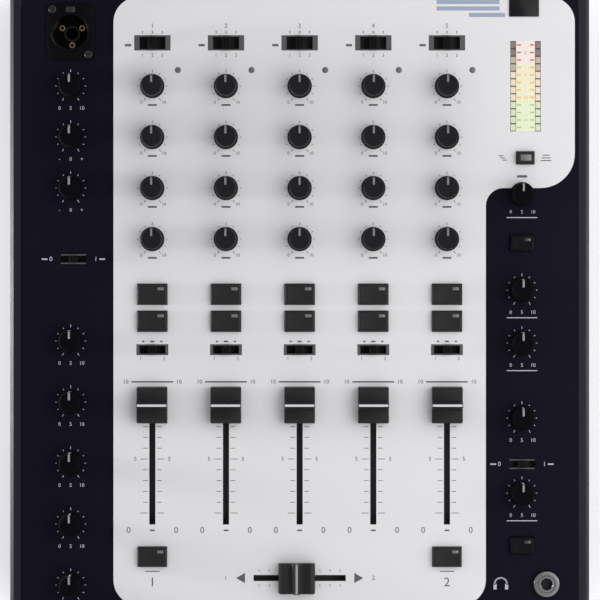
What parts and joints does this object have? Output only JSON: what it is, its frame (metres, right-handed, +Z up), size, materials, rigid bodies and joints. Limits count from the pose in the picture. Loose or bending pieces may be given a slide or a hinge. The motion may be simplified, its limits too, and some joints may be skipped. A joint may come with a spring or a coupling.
{
  "type": "dj mixer",
  "caption": "Desktop club mixer: black steel case between end cheeks, pale channel panel with turning knobs, buttons, slide switches, channel faders and a crossfader.",
  "frame": {"origin": "centre of the footprint, on the surface under the feet", "axes": "+X towards the operator's right, +Y towards the rear sockets, +Z up"},
  "size_m": [0.322, 0.351, 0.0973],
  "materials": {
    "tray_black": "satin black powder coat",
    "plate_black": "fine textured black powder coat with a blue tint",
    "panel_pale": "pale silver lacquer, satin",
    "cheek_charcoal": "moulded charcoal, fine grain",
    "board_green": "solder mask",
    "zinc_plate": "zinc plated",
    "switch_black": "matt black",
    "socket_black": "moulded black",
    "socket_nickel": "nickel plated",
    "supply_parts": "mixed dark parts",
    "lamp_lens": "translucent lens",
    "foot_rubber": "matt rubber",
    "screw_steel": "zinc plated",
    "knob_rubber": "soft touch dark grey",
    "fader_plastic": "matt dark grey with a pale line",
    "button_plastic": "matt dark grey with a small lens",
    "rocker_gloss": "gloss black"
  },
  "bodies": {
    "case": {"chassis_tray": "tray_black", "top_plate": "plate_black", "channel_panel": "panel_pale", "left_cheek": "cheek_charcoal", "right_cheek": "cheek_charcoal", "circuit_boards": "board_green", "knob_pots": "zinc_plate", "fader_tracks": "zinc_plate", "switch_bodies": "switch_black", "rear_sockets": "socket_black", "top_sockets": "socket_nickel", "power_supply": "supply_parts", "level_lamps": "lamp_lens", "feet": "foot_rubber", "screws": "screw_steel"},
    "ch1_gain_knob": {"ch1_gain_knob": "knob_rubber"},
    "ch1_treble_knob": {"ch1_treble_knob": "knob_rubber"},
    "ch1_middle_knob": {"ch1_middle_knob": "knob_rubber"},
    "ch1_bass_knob": {"ch1_bass_knob": "knob_rubber"},
    "ch2_gain_knob": {"ch2_gain_knob": "knob_rubber"},
    "ch2_treble_knob": {"ch2_treble_knob": "knob_rubber"},
    "ch2_middle_knob": {"ch2_middle_knob": "knob_rubber"},
    "ch2_bass_knob": {"ch2_bass_knob": "knob_rubber"},
    "ch3_gain_knob": {"ch3_gain_knob": "knob_rubber"},
    "ch3_treble_knob": {"ch3_treble_knob": "knob_rubber"},
    "ch3_middle_knob": {"ch3_middle_knob": "knob_rubber"},
    "ch3_bass_knob": {"ch3_bass_knob": "knob_rubber"},
    "ch4_gain_knob": {"ch4_gain_knob": "knob_rubber"},
    "ch4_treble_knob": {"ch4_treble_knob": "knob_rubber"},
    "ch4_middle_knob": {"ch4_middle_knob": "knob_rubber"},
    "ch4_bass_knob": {"ch4_bass_knob": "knob_rubber"},
    "ch5_gain_knob": {"ch5_gain_knob": "knob_rubber"},
    "ch5_treble_knob": {"ch5_treble_knob": "knob_rubber"},
    "ch5_middle_knob": {"ch5_middle_knob": "knob_rubber"},
    "ch5_bass_knob": {"ch5_bass_knob": "knob_rubber"},
    "ch1_fader": {"ch1_fader": "fader_plastic"},
    "ch2_fader": {"ch2_fader": "fader_plastic"},
    "ch3_fader": {"ch3_fader": "fader_plastic"},
    "ch4_fader": {"ch4_fader": "fader_plastic"},
    "ch5_fader": {"ch5_fader": "fader_plastic"},
    "crossfader": {"crossfader": "fader_plastic"},
    "mic_level_knob": {"mic_level_knob": "knob_rubber"},
    "mic_treble_knob": {"mic_treble_knob": "knob_rubber"},
    "mic_bass_knob": {"mic_bass_knob": "knob_rubber"},
    "send_level_knob": {"send_level_knob": "knob_rubber"},
    "return_level_knob": {"return_level_knob": "knob_rubber"},
    "effect_mix_knob": {"effect_mix_knob": "knob_rubber"},
    "cross_curve_knob": {"cross_curve_knob": "knob_rubber"},
    "fader_curve_knob": {"fader_curve_knob": "knob_rubber"},
    "master_level_knob": {"master_level_knob": "knob_rubber"},
    "balance_knob": {"balance_knob": "knob_rubber"},
    "booth_level_knob": {"booth_level_knob": "knob_rubber"},
    "cue_mix_knob": {"cue_mix_knob": "knob_rubber"},
    "phones_level_knob": {"phones_level_knob": "knob_rubber"},
    "input_selectors": {"input_selectors": "switch_black"},
    "channel_buttons": {"channel_buttons": "button_plastic"},
    "assign_switches": {"assign_switches": "switch_black"},
    "panel_buttons": {"panel_buttons": "button_plastic"},
    "side_switches": {"side_switches": "switch_black"},
    "power_rocker": {"power_rocker": "rocker_gloss"}
  },
  "joints": [
    {"name": "ch1_gain_knob_turn", "type": "hinge", "parent": "case", "child": "ch1_gain_knob", "pos_m": [-0.0818, 0.1193, 0.09], "axis": [0, 0, 1], "range_deg": [-150, 150]},
    {"name": "ch1_treble_knob_turn", "type": "hinge", "parent": "case", "child": "ch1_treble_knob", "pos_m": [-0.0818, 0.091, 0.09], "axis": [0, 0, 1], "range_deg": [-150, 150]},
    {"name": "ch1_middle_knob_turn", "type": "hinge", "parent": "case", "child": "ch1_middle_knob", "pos_m": [-0.0818, 0.0627, 0.09], "axis": [0, 0, 1], "range_deg": [-150, 150]},
    {"name": "ch1_bass_knob_turn", "type": "hinge", "parent": "case", "child": "ch1_bass_knob", "pos_m": [-0.0818, 0.0344, 0.09], "axis": [0, 0, 1], "range_deg": [-150, 150]},
    {"name": "ch2_gain_knob_turn", "type": "hinge", "parent": "case", "child": "ch2_gain_knob", "pos_m": [-0.0409, 0.1193, 0.09], "axis": [0, 0, 1], "range_deg": [-150, 150]},
    {"name": "ch2_treble_knob_turn", "type": "hinge", "parent": "case", "child": "ch2_treble_knob", "pos_m": [-0.0409, 0.091, 0.09], "axis": [0, 0, 1], "range_deg": [-150, 150]},
    {"name": "ch2_middle_knob_turn", "type": "hinge", "parent": "case", "child": "ch2_middle_knob", "pos_m": [-0.0409, 0.0627, 0.09], "axis": [0, 0, 1], "range_deg": [-150, 150]},
    {"name": "ch2_bass_knob_turn", "type": "hinge", "parent": "case", "child": "ch2_bass_knob", "pos_m": [-0.0409, 0.0344, 0.09], "axis": [0, 0, 1], "range_deg": [-150, 150]},
    {"name": "ch3_gain_knob_turn", "type": "hinge", "parent": "case", "child": "ch3_gain_knob", "pos_m": [0, 0.1193, 0.09], "axis": [0, 0, 1], "range_deg": [-150, 150]},
    {"name": "ch3_treble_knob_turn", "type": "hinge", "parent": "case", "child": "ch3_treble_knob", "pos_m": [0, 0.091, 0.09], "axis": [0, 0, 1], "range_deg": [-150, 150]},
    {"name": "ch3_middle_knob_turn", "type": "hinge", "parent": "case", "child": "ch3_middle_knob", "pos_m": [0, 0.0627, 0.09], "axis": [0, 0, 1], "range_deg": [-150, 150]},
    {"name": "ch3_bass_knob_turn", "type": "hinge", "parent": "case", "child": "ch3_bass_knob", "pos_m": [0, 0.0344, 0.09], "axis": [0, 0, 1], "range_deg": [-150, 150]},
    {"name": "ch4_gain_knob_turn", "type": "hinge", "parent": "case", "child": "ch4_gain_knob", "pos_m": [0.0409, 0.1193, 0.09], "axis": [0, 0, 1], "range_deg": [-150, 150]},
    {"name": "ch4_treble_knob_turn", "type": "hinge", "parent": "case", "child": "ch4_treble_knob", "pos_m": [0.0409, 0.091, 0.09], "axis": [0, 0, 1], "range_deg": [-150, 150]},
    {"name": "ch4_middle_knob_turn", "type": "hinge", "parent": "case", "child": "ch4_middle_knob", "pos_m": [0.0409, 0.0627, 0.09], "axis": [0, 0, 1], "range_deg": [-150, 150]},
    {"name": "ch4_bass_knob_turn", "type": "hinge", "parent": "case", "child": "ch4_bass_knob", "pos_m": [0.0409, 0.0344, 0.09], "axis": [0, 0, 1], "range_deg": [-150, 150]},
    {"name": "ch5_gain_knob_turn", "type": "hinge", "parent": "case", "child": "ch5_gain_knob", "pos_m": [0.0818, 0.1193, 0.09], "axis": [0, 0, 1], "range_deg": [-150, 150]},
    {"name": "ch5_treble_knob_turn", "type": "hinge", "parent": "case", "child": "ch5_treble_knob", "pos_m": [0.0818, 0.091, 0.09], "axis": [0, 0, 1], "range_deg": [-150, 150]},
    {"name": "ch5_middle_knob_turn", "type": "hinge", "parent": "case", "child": "ch5_middle_knob", "pos_m": [0.0818, 0.0627, 0.09], "axis": [0, 0, 1], "range_deg": [-150, 150]},
    {"name": "ch5_bass_knob_turn", "type": "hinge", "parent": "case", "child": "ch5_bass_knob", "pos_m": [0.0818, 0.0344, 0.09], "axis": [0, 0, 1], "range_deg": [-150, 150]},
    {"name": "ch1_fader_slide", "type": "slide", "parent": "case", "child": "ch1_fader", "axis": [0, 1, 0], "range_m": [-0.06, 0]},
    {"name": "ch2_fader_slide", "type": "slide", "parent": "case", "child": "ch2_fader", "axis": [0, 1, 0], "range_m": [-0.06, 0]},
    {"name": "ch3_fader_slide", "type": "slide", "parent": "case", "child": "ch3_fader", "axis": [0, 1, 0], "range_m": [-0.06, 0]},
    {"name": "ch4_fader_slide", "type": "slide", "parent": "case", "child": "ch4_fader", "axis": [0, 1, 0], "range_m": [-0.06, 0]},
    {"name": "ch5_fader_slide", "type": "slide", "parent": "case", "child": "ch5_fader", "axis": [0, 1, 0], "range_m": [-0.06, 0]},
    {"name": "crossfader_slide", "type": "slide", "parent": "case", "child": "crossfader", "axis": [1, 0, 0], "range_m": [-0.0209, 0.0241]},
    {"name": "mic_level_knob_turn", "type": "hinge", "parent": "case", "child": "mic_level_knob", "pos_m": [-0.1272, 0.1195, 0.089], "axis": [0, 0, 1], "range_deg": [-150, 150]},
    {"name": "mic_treble_knob_turn", "type": "hinge", "parent": "case", "child": "mic_treble_knob", "pos_m": [-0.1272, 0.0912, 0.089], "axis": [0, 0, 1], "range_deg": [-150, 150]},
    {"name": "mic_bass_knob_turn", "type": "hinge", "parent": "case", "child": "mic_bass_knob", "pos_m": [-0.1272, 0.0629, 0.089], "axis": [0, 0, 1], "range_deg": [-150, 150]},
    {"name": "send_level_knob_turn", "type": "hinge", "parent": "case", "child": "send_level_knob", "pos_m": [-0.1272, -0.0222, 0.089], "axis": [0, 0, 1], "range_deg": [-150, 150]},
    {"name": "return_level_knob_turn", "type": "hinge", "parent": "case", "child": "return_level_knob", "pos_m": [-0.1272, -0.0561, 0.089], "axis": [0, 0, 1], "range_deg": [-150, 150]},
    {"name": "effect_mix_knob_turn", "type": "hinge", "parent": "case", "child": "effect_mix_knob", "pos_m": [-0.1272, -0.09, 0.089], "axis": [0, 0, 1], "range_deg": [-150, 150]},
    {"name": "cross_curve_knob_turn", "type": "hinge", "parent": "case", "child": "cross_curve_knob", "pos_m": [-0.1272, -0.1239, 0.089], "axis": [0, 0, 1], "range_deg": [-150, 150]},
    {"name": "fader_curve_knob_turn", "type": "hinge", "parent": "case", "child": "fader_curve_knob", "pos_m": [-0.1272, -0.1578, 0.089], "axis": [0, 0, 1], "range_deg": [-150, 150]},
    {"name": "master_level_knob_turn", "type": "hinge", "parent": "case", "child": "master_level_knob", "pos_m": [0.1235, 0.0593, 0.09], "axis": [0, 0, 1], "range_deg": [-150, 150]},
    {"name": "balance_knob_turn", "type": "hinge", "parent": "case", "child": "balance_knob", "pos_m": [0.1235, 0.0061, 0.089], "axis": [0, 0, 1], "range_deg": [-150, 150]},
    {"name": "booth_level_knob_turn", "type": "hinge", "parent": "case", "child": "booth_level_knob", "pos_m": [0.1235, -0.0233, 0.089], "axis": [0, 0, 1], "range_deg": [-150, 150]},
    {"name": "cue_mix_knob_turn", "type": "hinge", "parent": "case", "child": "cue_mix_knob", "pos_m": [0.1235, -0.065, 0.089], "axis": [0, 0, 1], "range_deg": [-150, 150]},
    {"name": "phones_level_knob_turn", "type": "hinge", "parent": "case", "child": "phones_level_knob", "pos_m": [0.1235, -0.1067, 0.089], "axis": [0, 0, 1], "range_deg": [-150, 150]},
    {"name": "input_selectors_slide", "type": "slide", "parent": "case", "child": "input_selectors", "axis": [1, 0, 0], "range_m": [-0.0045, 0.0045]},
    {"name": "channel_buttons_press", "type": "slide", "parent": "case", "child": "channel_buttons", "axis": [0, 0, -1], "range_m": [0, 0.0015], "stiffness_N_per_m": 1200, "springref_m": -0.001},
    {"name": "assign_switches_slide", "type": "slide", "parent": "case", "child": "assign_switches", "axis": [1, 0, 0], "range_m": [-0.0045, 0.0045]},
    {"name": "panel_buttons_press", "type": "slide", "parent": "case", "child": "panel_buttons", "axis": [0, 0, -1], "range_m": [0, 0.0015], "stiffness_N_per_m": 500, "springref_m": -0.001},
    {"name": "side_switches_slide", "type": "slide", "parent": "case", "child": "side_switches", "axis": [1, 0, 0], "range_m": [-0.0045, 0.0045]},
    {"name": "power_rocker_tilt", "type": "hinge", "parent": "case", "child": "power_rocker", "pos_m": [-0.112, 0.1635, 0.034], "axis": [1, 0, 0], "range_deg": [0, 16]}
  ]
}
